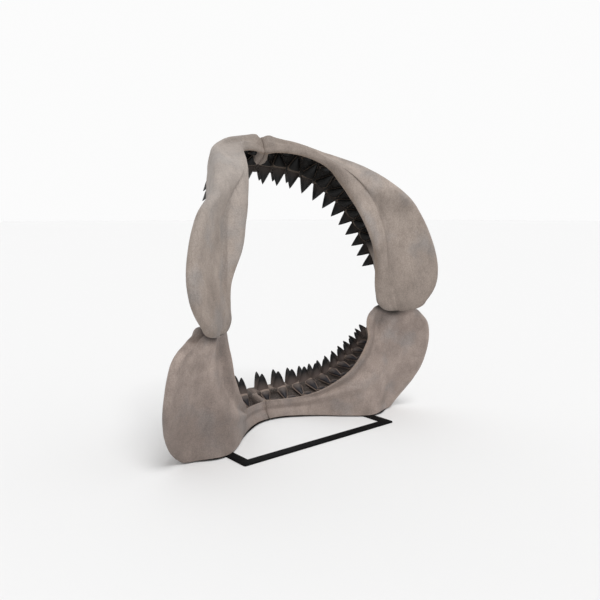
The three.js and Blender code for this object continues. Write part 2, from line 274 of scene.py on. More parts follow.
class Guide:
    """A smooth line along the left half, from the seam at 0 to the hinge at 1, in mm with +Y backwards."""

    def __init__(self, points):
        knots = np.array([[side, CENTRE_FORWARD - forward, up] for side, forward, up in points], float)
        knots = np.vstack([2 * knots[0] - knots[1], knots, 2 * knots[-1] - knots[-2]])
        self.grid = np.linspace(0, 1, GUIDE_SAMPLES + 1)
        place = self.grid * (len(points) - 1)
        k = np.minimum(place.astype(int), len(points) - 2)
        line = spline(knots[k], knots[k + 1], knots[k + 2], knots[k + 3], (place - k)[:, None])
        reach = 3 * GUIDE_SOFTNESS
        before = line[reach:0:-1] * [-1, 1, 1]
        after = 2 * line[-1] - line[-2:-reach - 2:-1]
        weights = np.exp(-0.5 * (np.arange(-reach, reach + 1) / GUIDE_SOFTNESS) ** 2)
        padded = np.vstack([before, line, after])
        weights /= weights.sum()
        self.line = np.stack([np.convolve(padded[:, i], weights, "valid") for i in range(3)], axis=-1)

    def at(self, t):
        return np.stack([np.interp(t, self.grid, self.line[:, i]) for i in range(3)], axis=-1)

    def heading(self, t):
        return self.at(np.minimum(t + 0.01, 1)) - self.at(np.maximum(t - 0.01, 0))


class Half:
    """One jaw's guides and sizes, for its left half.

    band_places are the places of the band's points from crest to rim. crease is where the painted shade round
    a section is strongest and crease_span its stretch along the half. The last argument gives that painted
    shade's strength at the hinge.
    """

    def __init__(self, table, sizes, band_places, crease, crease_span, cap_shade):
        self.guides = {name: Guide(points) for name, points in table.items()}
        self.sizes = sizes
        self.band_places = band_places
        self.crease = crease
        self.crease_span = crease_span
        self.cap_shade = cap_shade

    def section_points(self, t):
        """Nineteen points round each section, in mm: margin, back face, band, trough, gum and lip side."""
        margin, crest, rim, gum = (self.guides[name].at(t) for name in ("margin", "crest", "rim", "gum"))
        size = {name: np.array(value)[..., None] for name, value in self.sizes(t).items()}
        span = unit(margin - gum)
        out = unit(np.cross(span, self.guides["rim"].heading(t)))
        out = np.where(dot(out, rim - gum) > 0, -out, out)
        edge, share = size["edge"], size["lip_share"]
        across = unit(gum - rim)
        into = (margin + crest) / 2 - rim
        into = unit(into - across * dot(into, across))
        half = np.minimum(size["gum_width"] / 2, 0.35 * np.linalg.norm(gum - rim, axis=-1, keepdims=True))
        tip = margin + out * (share - 0.5) * edge
        back_edge = margin - span * 0.3 * edge + out * (share - 1) * edge
        lip_edge = margin - span * 0.3 * edge + out * share * edge
        gum_in = gum - across * half
        gum_out = gum + across * half + into * 0.2 * half

        def back(f, swell):
            dip = size["hollow"] * math.sin(math.pi * f) - swell * size["swell"]
            return mix(back_edge, crest, f) + out * dip

        def floor(f, depth):
            return mix(rim, gum_in, f) + into * depth

        def lip(f):
            return mix(gum_out, lip_edge, f) + out * size["bulge"] * math.sin(math.pi * f)

        band = [mix(crest, rim, f) - out * rise for f, rise in zip(self.band_places, size["band"])]
        return np.stack([
            tip, back_edge, back(0.25, 0), back(0.5, 0.3), back(0.75, 0.8), back(0.95, 1), *band, rim,
            floor(0.15, 0.6 * size["rim_trough"]), floor(0.5, size["trough"]),
            floor(0.87, 0.6 * size["trough"]), gum_in, gum_out,
            lip(0.25), lip(0.5), lip(0.75), lip_edge,
        ], axis=1)

    def rings(self, t, per_span):
        """Closed smooth rings through the section points, with the place of each ring point."""
        points = self.section_points(t)
        count = points.shape[1]
        f = np.arange(per_span)[None, :, None] / per_span
        spans = []
        for j in range(count):
            a, b, c, d = (points[:, (j + k) % count][:, None, :] for k in (-1, 0, 1, 2))
            spans.append(spline(a, b, c, d, f))
        places = np.arange(count * per_span) / per_span
        return np.concatenate(spans, axis=1), places


UPPER_HALF = Half(UPPER, upper_sizes, (0, 0.22, 0.6), CREST - 0.6, (0.4, 0.78), 1)
LOWER_HALF = Half(LOWER, lower_sizes, (0.25, 0.66, 0.85), CREST + 1.9, (0.25, 0.8), 0.4)


# ---------------------------------------------------------------- mesh helpers
def select_only(*objects):
    """Selects the given objects, the first of them active."""
    bpy.ops.object.select_all(action="DESELECT")
    for obj in objects:
        obj.select_set(True)
    bpy.context.view_layer.objects.active = objects[0]


def select_points(obj, chosen):
    """Selects exactly the given vertices, a list of true and false."""
    mesh = obj.data
    bpy.ops.object.mode_set(mode="OBJECT")
    for kind in (mesh.polygons, mesh.edges):
        kind.foreach_set("select", np.zeros(len(kind), bool))
    mesh.vertices.foreach_set("select", np.asarray(chosen, bool))
    mesh.update()
    select_only(obj)


def in_point_mode(*steps):
    """Runs steps in edit mode on the selected vertices."""
    bpy.ops.object.mode_set(mode="EDIT")
    bpy.ops.mesh.select_mode(type="VERT")
    for step in steps:
        step()
    bpy.ops.object.mode_set(mode="OBJECT")


def points_of(obj):
    places = np.empty(len(obj.data.vertices) * 3, np.float32)
    obj.data.vertices.foreach_get("co", places)
    return places.reshape(-1, 3).astype(float)


def apply_modifiers(obj):
    select_only(obj)
    for modifier in list(obj.modifiers):
        bpy.ops.object.modifier_apply(modifier=modifier.name)


def skin(name, rings, zones):
    """A closed body: a grid is laid on rings of points in metres, rolled up, and drawn together at both ends.

    zones has a colour for each point, which the materials read for what lies where on the surface.
    """
    ends = [np.repeat(rings[i].mean(axis=0)[None, None], rings.shape[1], axis=1) for i in (0, -1)]
    rings = np.concatenate([ends[0], rings, ends[1]])
    zones = np.concatenate([zones[:1], zones, zones[-1:]])
    along, around = rings.shape[:2]
    bpy.ops.object.select_all(action="DESELECT")
    bpy.ops.mesh.primitive_grid_add(x_subdivisions=around, y_subdivisions=along - 1, size=1)
    obj = bpy.context.object
    obj.name = obj.data.name = name
    flat = points_of(obj)
    order = np.lexsort((flat[:, 0].round(6), flat[:, 1].round(6)))
    places = np.empty_like(flat)
    places[order] = np.concatenate([rings, rings[:, :1]], axis=1).reshape(-1, 3)
    colours = np.empty((len(flat), 4))
    colours[order] = np.concatenate([zones, zones[:, :1]], axis=1).reshape(-1, 4)
    obj.data.vertices.foreach_set("co", places.ravel())
    layer = obj.data.color_attributes.new(name="zones", type="FLOAT_COLOR", domain="POINT")
    layer.data.foreach_set("color", colours.ravel())
    while obj.data.uv_layers:
        obj.data.uv_layers.remove(obj.data.uv_layers[0])
    select_points(obj, np.ones(len(flat), bool))
    in_point_mode(
        lambda: bpy.ops.mesh.remove_doubles(threshold=WELD),
        lambda: bpy.ops.mesh.normals_make_consistent(inside=False),
    )
    bpy.ops.object.shade_smooth()
    return obj


def ride(obj, material, slot, *nodes):
    """Gives a finished piece its material and its place in the frame."""
    obj.data.materials.clear()
    obj.data.materials.append(material)
    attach(obj, BODY)
    if nodes:
        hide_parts(*nodes)
    return obj


# ---------------------------------------------------------------- cartilage
def ring_levels(stations):
    """Places of the sections along a half, closest at the seam where the edge is rounded."""
    return np.concatenate([SEAM_LEVELS, np.linspace(FIRST_SECTION, CAP_START, stations)])


def outward(rings):
    """Direction out of the surface in the plane of each ring."""
    tangent = unit(np.roll(rings, -1, axis=1) - np.roll(rings, 1, axis=1))
    middle = rings.mean(axis=1, keepdims=True)
    plane = unit(np.cross(rings[:, :1] - middle, rings[:, rings.shape[1] // 3:][:, :1] - middle))
    side = np.cross(tangent, plane)
    turned = dot(side, rings - middle).mean(axis=1, keepdims=True) < 0
    return np.where(turned, -side, side)


def hinge_cap(rings, heading, length, steps):
    """More rings that round off the hinge end over the given length."""
    end = rings[-1]
    middle = end.mean(axis=0)
    heading = unit(heading + CAP_FOLLOW * unit(end - rings[-2]))
    cap = []
    for turn in np.linspace(0, CAP_TURN, steps + 1)[1:]:
        inner = middle + (end - middle) * mix(1, math.cos(turn), CAP_NARROWING)
        cap.append(inner + heading * length * math.sin(turn))
    return np.concatenate([rings, np.array(cap)])


def cartilage_rings(half, shape, cap_length):
    """Rings of one left half in mm, and their zones: groove, gum, rim and crease."""
    t = ring_levels(shape.stations)
    rings, place = half.rings(t, shape.per_span)
    rounding = shape.seam_round / MM * (1 - ease(t, 0, 0.005))
    welt = shape.seam_welt / MM * window(t, 0.009, 0.014, 0.014)
    rings = rings + outward(rings) * (welt - rounding)[:, None, None]
    heading = unit(half.guides["crest"].heading(t[-1:]))[0]
    rings = hinge_cap(rings, heading, cap_length, CAP_STEPS)
    rings[0, :, 0] = shape.seam_gap / MM / 2
    t = np.concatenate([t, np.full(CAP_STEPS, 1.0)])
    size = half.sizes(t)
    place, along = place[None, :], t[:, None]
    # the trough's dark paint, deepened as painted shade where the trough is deep
    depth = np.clip(size["trough"] / GROOVE_SHADE_DEPTH, 0, 1)[:, None]
    before_crease = ease(place, half.crease - 1.2, half.crease - 0.1)
    after_crease = ease(place, half.crease + 0.35, half.crease + 0.75)
    zones = np.stack([
        window(place, RIM + 0.45, GUM_IN - 0.15, 0.4) * depth,
        window(place, GUM_IN - 0.1, GUM_OUT + 0.3, 0.3) * (1 - ease(along, 0.8, 0.87)),
        window(place, RIM - 0.35, RIM + 0.15, 0.4) * (1 - ease(along, 0.75, 0.95)),
        before_crease * (1 - after_crease) * window(along, *half.crease_span, 0.12),
    ], axis=-1)
    # painted shade at the hinge end
    zones[-CAP_STEPS:, :, 3] += ease(np.arange(CAP_STEPS) / CAP_STEPS, 0.5, 0.9)[:, None] * half.cap_shade
    return rings, zones


def finish_cartilage(obj, shape):
    """Evens out the skin, away from the seam, and gives it the slight unevenness of a cast."""
    places = points_of(obj)
    select_points(obj, np.abs(places[:, 0]) > SEAM_KEEP)
    in_point_mode(lambda: bpy.ops.mesh.vertices_smooth(factor=0.5, repeat=shape.smoothing))
    clouds = bpy.data.textures.new(obj.name + "_lumps", "CLOUDS")
    clouds.noise_scale = shape.lump_size
    clouds.noise_depth = 2
    lumps = obj.modifiers.new("lumps", "DISPLACE")
    lumps.texture = clouds
    lumps.texture_coords = "LOCAL"
    lumps.mid_level = 0.5
    lumps.strength = shape.lump_height
    apply_modifiers(obj)


def keep_inside(obj):
    """Presses the few points past the frame's box, the midline or the stand's top back onto them."""
    places = points_of(obj)
    side = 1 if places[:, 0].mean() > 0 else -1
    gap = bpy.context.scene.jaw_shape.seam_gap
    places[:, 0] = side * np.clip(side * places[:, 0], gap / 2, CAD_BOX[1][0])
    places[:, 1] = np.clip(places[:, 1], CAD_BOX[0][1], CAD_BOX[1][1])
    places[:, 2] = np.clip(places[:, 2], FLOOR_OF_JAW, CAD_BOX[1][2])
    obj.data.vertices.foreach_set("co", places.astype(np.float32).ravel())
    obj.data.update()


def mark_crevice_shade(obj, other):
    """Marks the points close to the other jaw, so that the crevice between them gets a painted shadow."""
    tree = BVHTree.FromObject(other, bpy.context.evaluated_depsgraph_get())
    nearest = (tree.find_nearest(vertex.co, CREVICE_SHADE_REACH) for vertex in obj.data.vertices)
    away = np.array([distance or CREVICE_SHADE_REACH for _, _, _, distance in nearest])
    layer = obj.data.color_attributes["zones"]
    colours = np.empty(len(away) * 4, np.float32)
    layer.data.foreach_get("color", colours)
    colours[3::4] += CREVICE_SHADE_STRENGTH * (1 - ease(away, CUP_GAP, CREVICE_SHADE_REACH))
    layer.data.foreach_set("color", colours)


def swell_at(rings, place, reach, lift):
    """Lifts the rings by a vector in mm, most at one place and fading over the reach."""
    side, forward, up = place
    far = np.linalg.norm((rings - [side, CENTRE_FORWARD - forward, up]) / reach, axis=-1, keepdims=True)
    return rings + np.array(lift) * np.exp(-far ** 2)


# ---------------------------------------------------------------- teeth
def tooth_blank(name, belly, taper):
    """One tooth of unit size: base on z = 0, tip at z = 1, tongue side towards +y, with a short root below.

    belly is the tongue side's share of the thickness, and a lower taper keeps the crown wide further up.
    """
    crown = np.clip(TOOTH_LEVELS, 0, 1)
    wide = 0.5 * (1 - crown) ** taper + TIP_WIDTH * (1 - crown ** 6)
    wide = np.where(TOOTH_LEVELS < 0, wide * (1 + TOOTH_LEVELS * ROOT_NARROWING), wide)
    wide[0] *= 0.6
    thick = (1 - crown) ** 0.7 + TIP_THICKNESS
    thick[0] *= 0.5
    turn = np.arange(TOOTH_SIDES) / TOOTH_SIDES * 2 * math.pi
    rise = np.sign(np.sin(turn)) * np.abs(np.sin(turn)) ** FACE_FLATNESS
    depth = np.where(rise > 0, belly, 1 - belly) * rise
    rings = np.stack([
        wide[:, None] * np.cos(turn)[None, :],
        thick[:, None] * depth[None, :] + CROWN_CURVE * crown[:, None] * (1 - crown[:, None]),
        TOOTH_LEVELS[:, None] + 0 * turn[None, :],
    ], axis=-1)
    scallop = BASE_SCALLOP * (1 - crown) ** 2 * (TOOTH_LEVELS > 0)
    rings[:, :, 2] -= scallop[:, None] * np.cos(2 * turn)[None, :]
    zones = np.zeros((len(TOOTH_LEVELS), TOOTH_SIDES, 4))
    zones[:, :, 0] = crown[:, None]
    return skin(name, rings, zones)


def frame_of(base, wide, face, axis):
    """Matrix whose columns carry a unit tooth's width, thickness and height, mm to metres."""
    columns = [Vector(v * MM) for v in (wide, face, axis)]
    rows = [[column[i] for column in columns] + [base[i] * MM] for i in range(3)]
    return Matrix(rows + [[0, 0, 0, 1]])


def copy_of(blank, matrix, side, tone):
    """A copy of a tooth with a mesh and a tone of its own, on the left or the mirrored side."""
    piece = blank.copy()
    piece.data = blank.data.copy()
    bpy.context.collection.objects.link(piece)
    piece.data.transform(Matrix.Diagonal((side, 1, 1, 1)) @ matrix)
    colours = np.empty(len(piece.data.vertices) * 4, np.float32)
    layer = piece.data.color_attributes["zones"]
    layer.data.foreach_get("color", colours)
    colours[3::4] = tone
    layer.data.foreach_set("color", colours)
    return piece


def joined(name, pieces):
    """The pieces as one object, with their normals outward."""
    select_only(*pieces)
    bpy.ops.object.join()
    obj = bpy.context.object
    obj.name = obj.data.name = name
    select_points(obj, np.ones(len(obj.data.vertices), bool))
    in_point_mode(lambda: bpy.ops.mesh.normals_make_consistent(inside=False))
    bpy.ops.object.shade_smooth()
    return obj


def file_places(row):
    """Where along the half each tooth of a row stands, and how far along the row it is."""
    for i in range(row["count"]):
        f = (i + row["shift"](i / row["count"])) / row["count"]
        yield f, row["end"] * f ** FILE_SPACING - row.get("crowding", 0) * float(ease(f, 0.75, 1))


def standing_teeth(half, row, rng):
    """Matrices of one row of teeth that stand on the gum."""
    for f, t in file_places(row):
        at = np.array([t])
        base = half.guides["gum"].at(at)[0]
        along = unit(half.guides["gum"].heading(at))[0]
        across = unit(base - half.guides["rim"].at(at)[0])
        turn = row["turn"](t)
        axis = np.array([-math.sin(turn), -FORWARD_TILT * row["lean"], row["up"] * math.cos(turn)])
        axis = unit(axis + across * row["splay"])
        face = unit(np.cross(along, axis))
        face = face if face @ across < 0 else -face
        base = base + across * row["offset"] * half.sizes(at)["gum_width"][0]
        matrix = frame_of(base, along * row["width"](f), face * row["thick"], axis * row["height"](f))
        yield matrix, rng.random()


def lying_teeth(half, row, rng, grow=1.0, sink=0.0):
    """Matrices of one row of replacement teeth that lie in the trough."""
    for f, t in file_places(row):
        at = np.array([t])
        points = half.section_points(at)[0]
        base = mix(points[row["from"][0]], points[row["from"][0] - 1], row["from"][1])
        tip = mix(points[row["to"][0]], points[row["to"][0] - 1], row["to"][1])
        along = unit(half.guides["gum"].heading(at))[0]
        axis = tip - base
        face = unit(np.cross(along, axis))
        open_side = (points[RIM] + points[GUM_IN]) / 2 - points[FLOOR_DEEP]
        face = face if face @ open_side > 0 else -face
        middle = (base + tip) / 2 + face * (row["rise"] - sink)
        start = middle - axis * 0.5 * grow
        matrix = frame_of(start, along * row["width"](f) * grow, face * row["thick"], axis * grow)
        yield matrix, rng.random()


def upper_turn(t):
    """Angle in radians by which the upper teeth lean in to the mouth, from the seam to the hinge."""
    return 0.98 * float(ease(t, 0.12, 0.68))


def lip_turn(t):
    """The same for the upper lip side."""
    return 0.3 * upper_turn(t)


def lower_turn(t):
    """The same for the lower teeth."""
    return 0.75 * float(ease(t, 0.3, 0.75))


def half_way(f):
    return 0.5


def far_on(f):
    return 0.9


def staggered(f):
    """Half way at first, and further round towards the file before it near the hinge."""
    return mix(0.5, 0.12, float(ease(f, 0.15, 0.45)))


# A row has count teeth up to end, a share of the half's length. shift is each tooth's place within its own
# stretch, and crowding draws the last ones together. offset moves the row across the gum, as a share of the
# gum's width. up is the way the teeth point, lean tips them forward, turn tips them in to the mouth, and
# splay tips them out to the lips. Sizes are in mm, with f going from 0 to 1 along the row.
UPPER_ROWS = [
    {"count": 12, "shift": half_way, "end": 0.83, "crowding": 0.03, "offset": -0.22,
     "up": -1, "lean": 1, "splay": 0, "turn": upper_turn,
     "height": lambda f: mix(126, 98, f ** 1.3), "width": lambda f: mix(126, 88, f), "thick": 38},
    {"count": 12, "shift": half_way, "end": 0.83, "crowding": 0.03, "offset": 0.46,
     "up": -1, "lean": 0.8, "splay": 0.9, "turn": lip_turn,
     "height": lambda f: mix(64, 76, f), "width": lambda f: mix(80, 60, f), "thick": 30},
]
LOWER_ROWS = [
    {"count": 12, "shift": half_way, "end": 0.84, "offset": -0.27,
     "up": 1, "lean": 0.4, "splay": 0, "turn": lower_turn,
     "height": lambda f: mix(128, 78, f), "width": lambda f: mix(112, 70, f), "thick": 40},
    {"count": 12, "shift": staggered, "end": 0.84, "offset": 0.27,
     "up": 1, "lean": 0.4, "splay": 0.22, "turn": lower_turn,
     "height": lambda f: mix(122, 84, f), "width": lambda f: mix(86, 54, f), "thick": 32},
]
# Spare teeth lie from one place of the section to another, each given as a section point and how far from it
# towards the point before it. rise lifts them off the trough's floor, in mm.
UPPER_SPARES = [
    {"count": 10, "shift": half_way, "end": 0.7, "from": (GUM_IN, 0.35), "to": (FLOOR_GUM, 0.75),
     "rise": 6, "width": lambda f: mix(112, 78, f), "thick": 34},
    {"count": 9, "shift": far_on, "end": 0.66, "from": (FLOOR_GUM, 0.7), "to": (FLOOR_DEEP, 0.5),
     "rise": 8, "width": lambda f: mix(108, 76, f), "thick": 30},
    {"count": 9, "shift": half_way, "end": 0.62, "from": (FLOOR_DEEP, 0.35), "to": (FLOOR_RIM, 0.1),
     "rise": 6, "width": lambda f: mix(98, 70, f), "thick": 24},
]
LOWER_SPARES = [
    {"count": 10, "shift": half_way, "end": 0.76, "from": (GUM_IN, 0.4), "to": (FLOOR_GUM, 0.8),
     "rise": 4, "width": lambda f: mix(80, 54, f), "thick": 26},
    {"count": 10, "shift": far_on, "end": 0.74, "from": (FLOOR_GUM, 0.7), "to": (FLOOR_DEEP, 0.45),
     "rise": 6, "width": lambda f: mix(76, 52, f), "thick": 24},
    {"count": 9, "shift": half_way, "end": 0.68, "from": (FLOOR_DEEP, 0.35), "to": (FLOOR_RIM, 0.1),
     "rise": 5, "width": lambda f: mix(70, 50, f), "thick": 20},
]


# ---------------------------------------------------------------- shader maths
class Wire:
    """A shader socket whose arithmetic adds Math nodes."""

    def __init__(self, board, socket):
        self.board = board
        self.socket = socket

    def maths(self, operation, *values):
        return self.board.node("ShaderNodeMath", {"operation": operation}, dict(enumerate(values)))

    def __add__(self, other):
        return self.maths("ADD", self, other)

    def __mul__(self, other):
        return self.maths("MULTIPLY", self, other)

    def __sub__(self, other):
        return self.maths("SUBTRACT", self, other)

    def __rsub__(self, other):
        return self.maths("SUBTRACT", other, self)

    __radd__ = __add__
    __rmul__ = __mul__


class Board:
    """A new material's node tree, with its Principled shader."""

    def __init__(self, name):
        self.material = bpy.data.materials.new(name)
        self.material.use_nodes = True
        self.tree = self.material.node_tree
        self.shader = self.tree.nodes["Principled BSDF"]
        self.places = self.node("ShaderNodeTexCoord", output="Object")

    def node(self, kind, settings=None, inputs=None, output=0):
        """Adds a node, sets it, feeds its sockets with values or wires, and gives one of its outputs."""
        node = self.tree.nodes.new(kind)
        for key, value in (settings or {}).items():
            if key == "stops":
                self.set_stops(node.color_ramp, value)
            else:
                setattr(node, key, value)
        for key, value in (inputs or {}).items():
            self.feed(node.inputs[key], value)
        return Wire(self, node.outputs[output])

    @staticmethod
    def set_stops(ramp, stops):
        while len(ramp.elements) < len(stops):
            ramp.elements.new(0.5)
        for element, (place, value) in zip(ramp.elements, stops):
            element.position = place
            element.color = (value, value, value, 1)

    def feed(self, socket, value):
        if isinstance(value, Wire):
            self.tree.links.new(value.socket, socket)
        elif socket.type == "RGBA" and len(value) == 3:
            socket.default_value = (*value, 1)
        else:
            socket.default_value = value

    def set(self, **values):
        """Sets the shader's sockets by their names, with _ for a space."""
        for key, value in values.items():
            self.feed(self.shader.inputs[key.replace("_", " ")], value)

    def noise(self, scale, detail, roughness=0.5, stretch=(1, 1, 1)):
        vector = self.places
        if stretch != (1, 1, 1):
            vector = self.node("ShaderNodeMapping", None, {"Vector": self.places, "Scale": stretch})
        return self.node("ShaderNodeTexNoise", None, {
            "Vector": vector, "Scale": scale, "Detail": detail, "Roughness": roughness,
        })

    def axes(self):
        """X, Y and Z of the place in the frame."""
        return [self.node("ShaderNodeSeparateXYZ", None, {"Vector": self.places}, output=i) for i in range(3)]

    def ramp(self, value, *stops):
        return self.node("ShaderNodeValToRGB", {"stops": stops}, {"Fac": value})

    def blend(self, factor, a, b, how="MIX"):
        """Colour a turning into b."""
        node = self.tree.nodes.new("ShaderNodeMix")
        node.data_type = "RGBA"
        node.blend_type = how
        for index, value in ((0, factor), (6, a), (7, b)):
            self.feed(node.inputs[index], value)
        return Wire(self, node.outputs[2])

    def zones(self):
        """The four numbers that the piece's own points carry."""
        attribute = self.tree.nodes.new("ShaderNodeAttribute")
        attribute.attribute_name = "zones"
        colour = Wire(self, attribute.outputs["Color"])
        parts = [self.node("ShaderNodeSeparateColor", None, {"Color": colour}, output=i) for i in range(3)]
        return (*parts, Wire(self, attribute.outputs["Alpha"]))

    def line(self, value, width):
        """1 along the level line where the value is a half, falling to 0 over the given width."""
        off = (value - 0.5).maths("ABSOLUTE", value - 0.5)
        return self.ramp(off, (0.0, 1.0), (width, 0.0))

    def bump(self, *layers):
        """Normal from bump layers, each (height, distance in metres)."""
        normal = None
        for height, distance in layers:
            inputs = {"Height": height, "Distance": distance, "Strength": 1.0}
            if normal:
                inputs["Normal"] = normal
            normal = self.node("ShaderNodeBump", None, inputs)
        return normal


def toned(colour, factor):
    """The colour made darker or lighter."""
    return [min(1, part * factor) for part in colour]


def cartilage_material(name, pale, deep, groove, gum, low_shade):
    """Painted cast, pale with deeper blotches, with fibrous gum and a dark trough; painted shade darkens the
    creases, the trough's depths and the lower ends, a painted shadow the hinge's crevice, and painted light
    the +X brow.
    """
    board = Board(name)
    in_groove, on_gum, on_rim, in_crease = board.zones()
    across, _, height = board.axes()

    # the paint: blotches, mottling, pale streaks and cool patches
    blotch = board.noise(2.6, 3)
    mottle = board.noise(13, 6, 0.62)
    streaks = board.noise(9, 5, 0.6, stretch=(1, 1, 0.35))
    grain = board.noise(130, 4, 0.6)
    scratches = board.line(board.noise(11, 3, 0.5, stretch=(1, 1, 0.5)), 0.012)
    colour = board.blend(board.ramp(blotch, (0.38, 0), (0.62, 1)), pale, deep)
    colour = board.blend(board.ramp(mottle, (0.4, 0.0), (0.72, 0.46)), colour, toned(deep, 0.7))
    colour = board.blend(board.ramp(streaks, (0.3, 0.45), (0.5, 0.0)), colour, toned(pale, 1.16))
    cool = [sum(deep) / 3 * part for part in COOL_CAST]
    colour = board.blend(board.ramp(board.noise(4.3, 4), (0.5, 0), (0.66, 0.55)), colour, cool)

    # painted shade in the creases and at the hinge end, laid on as a dark tint, and the dark scratches
    crease_shade = in_crease.maths("MINIMUM", in_crease, 1.0)
    crease_shade = crease_shade * board.ramp(board.noise(5, 4), (0.35, 0.65), (0.7, 1.0))
    colour = board.blend(crease_shade * 0.58, colour, toned(deep, 0.62))
    colour = board.blend(scratches * 0.22, colour, toned(deep, 0.6))

    # painted shade on the lower ends, painted light on the +X brow in a paler greyer tint, and a darker
    # middle
    start, reach, dark_right, dark_left = low_shade
    # painted shade on the lower ends, stronger on the +X lower half
    low = board.ramp(height - start, (0.0, 1.0), (reach, 0.0))
    low = low * board.ramp(across, (0.1, dark_right), (0.8, dark_left))
    colour = board.blend(low, colour, toned(deep, 0.58))
    # painted light on the top of the +X head
    lit_brow = board.ramp(height - 1.1, (0.0, 0.0), (0.75, 0.5)) * board.ramp(across, (0.0, 0.15), (0.35, 1.0))
    colour = board.blend(lit_brow, colour, BROW_LIGHT)
    off_middle = across.maths("ABSOLUTE", across)
    colour = board.blend(board.ramp(off_middle, (0.2, 0.34), (0.55, 0.0)), colour, toned(deep, 0.66))
    smudge = board.ramp(board.noise(7, 5, 0.65, stretch=(1, 1, 0.5)), (0.36, 0.85), (0.56, 1.0))
    colour = board.blend(1.0, colour, smudge, "MULTIPLY")

    # the seam, the rim, the gum with its strands, the trough with its threads, and the painted shadow in the
    # hinge's crevice
    by_seam = board.ramp(off_middle, (0.0, 1.0), (0.045, 0.0))
    colour = board.blend(by_seam * 0.35, colour, SEAM_TINT)
    colour = board.blend(on_rim * 0.3, colour, RIM_TINT)
    strands = board.ramp(board.noise(30, 3, 0.6, stretch=(1, 0.12, 1)), (0.36, 0.0), (0.62, 1.0))
    threads = board.line(strands, 0.09)
    colour = board.blend(on_gum, colour, board.blend(strands, toned(gum, 1.35), toned(gum, 0.36)))
    colour = board.blend(in_groove, colour, board.blend(threads * 0.75, groove, toned(gum, 1.7)))
    # painted shadow in the hinge's crevice, where the crevice mark is past 1
    colour = board.blend((in_crease - 1.0) * 0.75, colour, CREVICE_SHADOW_TINT)
    colour = board.blend(1.0, colour, board.ramp(grain, (0.42, 0.82), (0.6, 1.0)), "MULTIPLY")
    unevenness = board.bump(
        (board.noise(6, 3), 0.012), (mottle, 0.0022), (scratches, -0.0012),
        (threads * in_groove, 0.003), (strands * on_gum, -0.003), (grain, 0.0005),
    )
    board.set(Base_Color=colour, Roughness=0.6 + mottle * 0.14, Normal=unevenness, Specular_IOR_Level=0.35)
    return board.material


def tooth_material(name, root, crown, gloss, reach_top=0.42):
    """Enamel that has gone from the root's colour to the crown's at reach_top, a share of its height."""
    board = Board(name)
    height, _, _, tone = board.zones()
    streaks = board.noise(60, 4, 0.6, stretch=(1, 1, 0.25))
    reach = height + (streaks - 0.5) * 0.3 + (tone - 0.5) * 0.12
    colour = board.blend(board.ramp(reach, (0.02, 0), (reach_top, 1)), root, crown)
    board.set(
        Base_Color=colour,
        Roughness=board.ramp(reach, (0.1, 0.6), (0.5, gloss)),
        Normal=board.bump((streaks, 0.0008)),
        Specular_IOR_Level=0.3,
    )
    return board.material


def steel_material(name, colour):
    """Fine-grained powder coat with a few worn patches."""
    board = Board(name)
    grain = board.noise(420, 3)
    wear = board.noise(9, 4)
    board.set(
        Base_Color=board.blend(board.ramp(wear, (0.45, 0), (0.75, 0.35)), colour, toned(colour, 2.2)),
        Roughness=0.5 + wear * 0.2,
        Normal=board.bump((grain, 0.0002)),
        Specular_IOR_Level=0.05,
    )
    return board.material


# ---------------------------------------------------------------- settings
def length_setting(name, about, metres):
    """A property for a length."""
    return FloatProperty(name=name, description=about, default=metres, unit="LENGTH")


def colour_setting(name, about, colour):
    """A property for a colour."""
    return FloatVectorProperty(name=name, description=about, default=colour, subtype="COLOR")


class JawShape(bpy.types.PropertyGroup):
    """How finely the cartilage is built and how even it is."""

    stations: IntProperty(
        name="Sections", description="Sections along each half", default=240, min=40)
    per_span: IntProperty(
        name="Steps", description="Steps between two places round a section", default=10, min=3)
    smoothing: IntProperty(
        name="Smoothing", description="Times the skin is evened out", default=5, min=0)
    seam_gap: length_setting("Seam Gap", "Gap between the left and right halves", 0.0006)
    seam_round: length_setting("Seam Rounding", "How far the edge at the seam is drawn in", 0.007)
    seam_welt: length_setting("Seam Welt", "Height of the low ridge beside the seam", 0.004)
    lump_size: length_setting("Lump Size", "Size of the cast's slight lumps", 0.11)
    lump_height: length_setting("Lump Height", "Height of the cast's slight lumps", 0.004)


